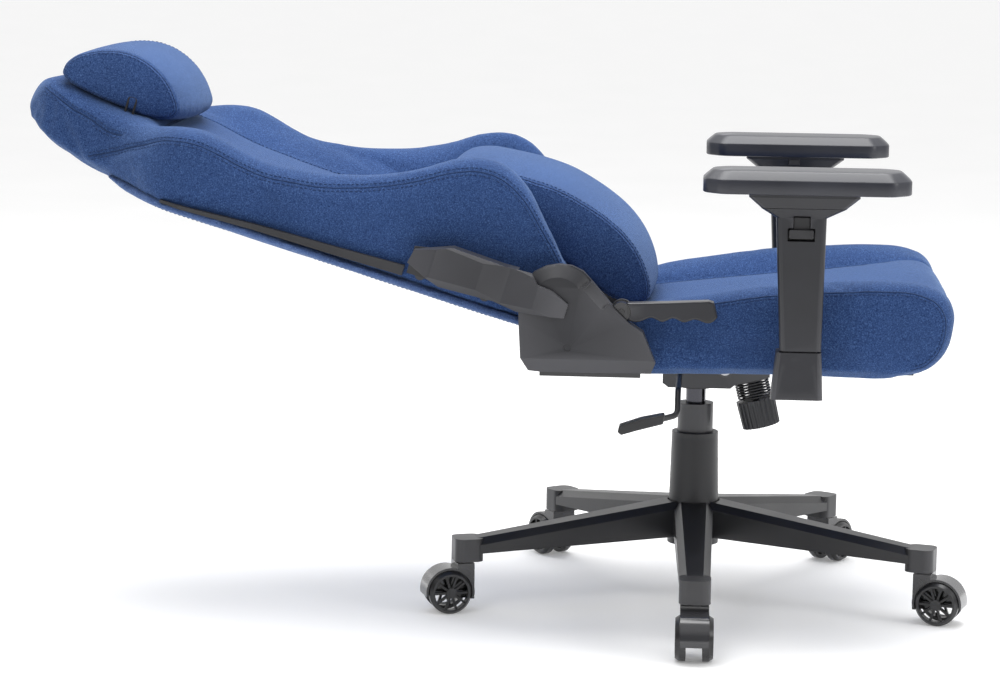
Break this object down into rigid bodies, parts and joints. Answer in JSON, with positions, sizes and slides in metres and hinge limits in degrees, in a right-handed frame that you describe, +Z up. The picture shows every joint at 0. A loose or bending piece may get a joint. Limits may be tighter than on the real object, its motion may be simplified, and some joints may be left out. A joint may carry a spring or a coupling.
{
  "type": "gaming chair",
  "caption": "Gaming chair with a bucket seat, a reclining winged back with head and lumbar pillows, adjustable arms, a gas column and a star base on twin-wheel casters.",
  "frame": {"origin": "on the floor, under the axis of the gas column", "axes": "+X forward, the way the sitter faces; +Y to the sitter's left; +Z up"},
  "size_m": [1.3132, 0.7348, 0.7831],
  "materials": {
    "base_metal": "satin powder coat",
    "steel": "turned",
    "dark_steel": "black painted pressed steel",
    "chrome": "ground and chromed",
    "black_plastic": "fine grain",
    "grey_plastic": "satin, fine grain",
    "gloss_black": "gloss",
    "wheel_nylon": "semi-gloss nylon",
    "pad_foam": "skinned polyurethane foam",
    "blue_fabric": "heathered weave over foam",
    "pillow_fabric": "heathered weave over foam",
    "black_trim": "smooth coated trim"
  },
  "bodies": {
    "base": {"base_star": "base_metal", "caster_stems": "steel", "gas_outer_tube": "dark_steel", "column_cover": "black_plastic"},
    "rod": {"piston_rod": "steel"},
    "mechanism": {"gas_inner_tube": "chrome", "tilt_housing": "dark_steel", "tilt_pin": "steel", "tension_spring": "dark_steel"},
    "gas_valve": {"gas_button": "steel"},
    "tilt_lock": {"lock_collar": "black_plastic"},
    "height_lever": {"lever_rod": "dark_steel", "lever_grip": "black_plastic"},
    "seat": {"seat_plate": "dark_steel", "seat_bolts": "steel", "seat_frame": "dark_steel", "seat_cushion": "blue_fabric", "hinge_brackets": "dark_steel", "pivot_pins": "steel", "hinge_covers": "grey_plastic", "arm_brackets": "dark_steel", "arm_collars": "grey_plastic"},
    "knob": {"tension_knob": "grey_plastic"},
    "back": {"back_arms": "dark_steel", "back_covers": "grey_plastic", "back_frame": "dark_steel", "back_cushion": "blue_fabric", "back_panel": "blue_fabric", "back_trims": "black_trim", "head_pillow": "pillow_fabric"},
    "lumbar": {"lumbar_pillow": "pillow_fabric"},
    "recline_handle": {"recline_lever": "dark_steel", "recline_grip": "grey_plastic"},
    "right_arm_post": {"right_arm_sleeve": "grey_plastic"},
    "right_arm_release": {"right_arm_trigger": "black_plastic"},
    "right_arm_swivel": {"right_arm_turntable": "steel"},
    "right_arm_rest": {"right_arm_tray": "grey_plastic", "right_arm_pad": "pad_foam"},
    "right_arm_catch": {"right_arm_button": "black_plastic"},
    "left_arm_post": {"left_arm_sleeve": "grey_plastic"},
    "left_arm_release": {"left_arm_trigger": "black_plastic"},
    "left_arm_swivel": {"left_arm_turntable": "steel"},
    "left_arm_rest": {"left_arm_tray": "grey_plastic", "left_arm_pad": "pad_foam"},
    "left_arm_catch": {"left_arm_button": "black_plastic"},
    "caster_1": {"caster_1_hood": "gloss_black"},
    "caster_1_left": {"caster_1_left_wheel": "wheel_nylon"},
    "caster_1_right": {"caster_1_right_wheel": "wheel_nylon"},
    "caster_2": {"caster_2_hood": "gloss_black"},
    "caster_2_left": {"caster_2_left_wheel": "wheel_nylon"},
    "caster_2_right": {"caster_2_right_wheel": "wheel_nylon"},
    "caster_3": {"caster_3_hood": "gloss_black"},
    "caster_3_left": {"caster_3_left_wheel": "wheel_nylon"},
    "caster_3_right": {"caster_3_right_wheel": "wheel_nylon"},
    "caster_4": {"caster_4_hood": "gloss_black"},
    "caster_4_left": {"caster_4_left_wheel": "wheel_nylon"},
    "caster_4_right": {"caster_4_right_wheel": "wheel_nylon"},
    "caster_5": {"caster_5_hood": "gloss_black"},
    "caster_5_left": {"caster_5_left_wheel": "wheel_nylon"},
    "caster_5_right": {"caster_5_right_wheel": "wheel_nylon"}
  },
  "joints": [
    {"name": "swivel", "type": "hinge", "parent": "base", "child": "rod", "pos_m": [0, 0, 0.1], "axis": [0, 0, 1], "continuous": true},
    {"name": "lift", "type": "slide", "parent": "rod", "child": "mechanism", "axis": [0, 0, 1], "range_m": [0, 0.08]},
    {"name": "tilt", "type": "hinge", "parent": "mechanism", "child": "seat", "pos_m": [0.04, 0, 0.343], "axis": [0, -1, 0], "range_deg": [0, 10], "stiffness_Nm_per_rad": 250, "springref_deg": -51.57, "deforming": ["tension_spring"]},
    {"name": "gas_valve_press", "type": "slide", "parent": "mechanism", "child": "gas_valve", "axis": [0, 0, 1], "range_m": [-0.004, 0]},
    {"name": "tilt_lock_pull", "type": "slide", "parent": "mechanism", "child": "tilt_lock", "axis": [0, 1, 0], "range_m": [-0.012, 0]},
    {"name": "height_lever_lift", "type": "hinge", "parent": "tilt_lock", "child": "height_lever", "pos_m": [-0.022, -0.1, 0.338], "axis": [0, 1, 0], "range_deg": [0, 8], "stiffness_Nm_per_rad": 0.5, "springref_deg": -34.38},
    {"name": "tension_turn", "type": "hinge", "parent": "seat", "child": "knob", "pos_m": [0.074, 0, 0.33], "axis": [0.2419, 0, -0.9703], "range_deg": [-720, 720]},
    {"name": "recline", "type": "hinge", "parent": "seat", "child": "back", "pos_m": [-0.182, 0, 0.458], "axis": [0, 1, 0], "range_deg": [0, 70]},
    {"name": "lumbar_slide", "type": "slide", "parent": "back", "child": "lumbar", "axis": [-0.9563, 0, 0.2924], "range_m": [0, 0.112]},
    {"name": "recline_handle_lift", "type": "hinge", "parent": "seat", "child": "recline_handle", "pos_m": [-0.098, -0.27, 0.448], "axis": [0, -1, 0], "range_deg": [0, 22], "stiffness_Nm_per_rad": 0.8, "springref_deg": -34.38},
    {"name": "right_arm_height", "type": "slide", "parent": "seat", "child": "right_arm_post", "axis": [0, 0, 1], "range_m": [0, 0.07]},
    {"name": "right_arm_trigger_press", "type": "hinge", "parent": "right_arm_post", "child": "right_arm_release", "pos_m": [0.134, -0.3165, 0.578], "axis": [-1, 0, 0], "range_deg": [0, 8], "stiffness_Nm_per_rad": 0.05, "springref_deg": -17.19},
    {"name": "right_arm_turn", "type": "hinge", "parent": "right_arm_post", "child": "right_arm_swivel", "pos_m": [0.135, -0.3, 0.593], "axis": [0, 0, 1], "range_deg": [-20, 20]},
    {"name": "right_arm_slide", "type": "slide", "parent": "right_arm_swivel", "child": "right_arm_rest", "axis": [1, 0, 0], "range_m": [-0.02, 0.02]},
    {"name": "right_arm_catch_press", "type": "slide", "parent": "right_arm_rest", "child": "right_arm_catch", "axis": [0, -1, 0], "range_m": [0, 0.0025], "stiffness_N_per_m": 300, "springref_m": -0.002},
    {"name": "left_arm_height", "type": "slide", "parent": "seat", "child": "left_arm_post", "axis": [0, 0, 1], "range_m": [0, 0.07]},
    {"name": "left_arm_trigger_press", "type": "hinge", "parent": "left_arm_post", "child": "left_arm_release", "pos_m": [0.134, 0.3165, 0.578], "axis": [1, 0, 0], "range_deg": [0, 8], "stiffness_Nm_per_rad": 0.05, "springref_deg": -17.19},
    {"name": "left_arm_turn", "type": "hinge", "parent": "left_arm_post", "child": "left_arm_swivel", "pos_m": [0.135, 0.3, 0.593], "axis": [0, 0, 1], "range_deg": [-20, 20]},
    {"name": "left_arm_slide", "type": "slide", "parent": "left_arm_swivel", "child": "left_arm_rest", "axis": [1, 0, 0], "range_m": [-0.02, 0.02]},
    {"name": "left_arm_catch_press", "type": "slide", "parent": "left_arm_rest", "child": "left_arm_catch", "axis": [0, 1, 0], "range_m": [0, 0.0025], "stiffness_N_per_m": 300, "springref_m": -0.002},
    {"name": "caster_1_swivel", "type": "hinge", "parent": "base", "child": "caster_1", "pos_m": [0.00704, -0.33593, 0.07], "axis": [0, 0, 1], "continuous": true},
    {"name": "caster_1_left_roll", "type": "hinge", "parent": "caster_1", "child": "caster_1_left", "pos_m": [0.02549, -0.35754, 0.03], "axis": [0.9998, 0.0209, 0], "continuous": true},
    {"name": "caster_1_right_roll", "type": "hinge", "parent": "caster_1", "child": "caster_1_right", "pos_m": [-0.0105, -0.3583, 0.03], "axis": [0.9998, 0.0209, 0], "continuous": true},
    {"name": "caster_2_swivel", "type": "hinge", "parent": "base", "child": "caster_2", "pos_m": [0.32166, -0.09711, 0.07], "axis": [0, 0, 1], "continuous": true},
    {"name": "caster_2_left_roll", "type": "hinge", "parent": "caster_2", "child": "caster_2_left", "pos_m": [0.34792, -0.08624, 0.03], "axis": [0.289, 0.9573, 0], "continuous": true},
    {"name": "caster_2_right_roll", "type": "hinge", "parent": "caster_2", "child": "caster_2_right", "pos_m": [0.33752, -0.12071, 0.03], "axis": [0.289, 0.9573, 0], "continuous": true},
    {"name": "caster_3_swivel", "type": "hinge", "parent": "base", "child": "caster_3", "pos_m": [0.19176, 0.27591, 0.07], "axis": [0, 0, 1], "continuous": true},
    {"name": "caster_3_left_roll", "type": "hinge", "parent": "caster_3", "child": "caster_3_left", "pos_m": [0.18953, 0.30424, 0.03], "axis": [-0.8211, 0.5707, 0], "continuous": true},
    {"name": "caster_3_right_roll", "type": "hinge", "parent": "caster_3", "child": "caster_3_right", "pos_m": [0.2191, 0.2837, 0.03], "axis": [-0.8211, 0.5707, 0], "continuous": true},
    {"name": "caster_4_swivel", "type": "hinge", "parent": "base", "child": "caster_4", "pos_m": [-0.20315, 0.26763, 0.07], "axis": [0, 0, 1], "continuous": true},
    {"name": "caster_4_left_roll", "type": "hinge", "parent": "caster_4", "child": "caster_4_left", "pos_m": [-0.23078, 0.27427, 0.03], "axis": [-0.7965, -0.6046, 0], "continuous": true},
    {"name": "caster_4_right_roll", "type": "hinge", "parent": "caster_4", "child": "caster_4_right", "pos_m": [-0.20211, 0.29604, 0.03], "axis": [-0.7965, -0.6046, 0], "continuous": true},
    {"name": "caster_5_swivel", "type": "hinge", "parent": "base", "child": "caster_5", "pos_m": [-0.31731, -0.1105, 0.07], "axis": [0, 0, 1], "continuous": true},
    {"name": "caster_5_left_roll", "type": "hinge", "parent": "caster_5", "child": "caster_5_left", "pos_m": [-0.33217, -0.13473, 0.03], "axis": [0.3289, -0.9444, 0], "continuous": true},
    {"name": "caster_5_right_roll", "type": "hinge", "parent": "caster_5", "child": "caster_5_right", "pos_m": [-0.34401, -0.10074, 0.03], "axis": [0.3289, -0.9444, 0], "continuous": true}
  ],
  "couplings": [
    {"joint": "gas_valve_press", "follows": "height_lever_lift", "m_per_rad": -0.0262},
    {"joint": "lumbar_slide", "follows": "recline", "m_per_rad": 0.09}
  ]
}
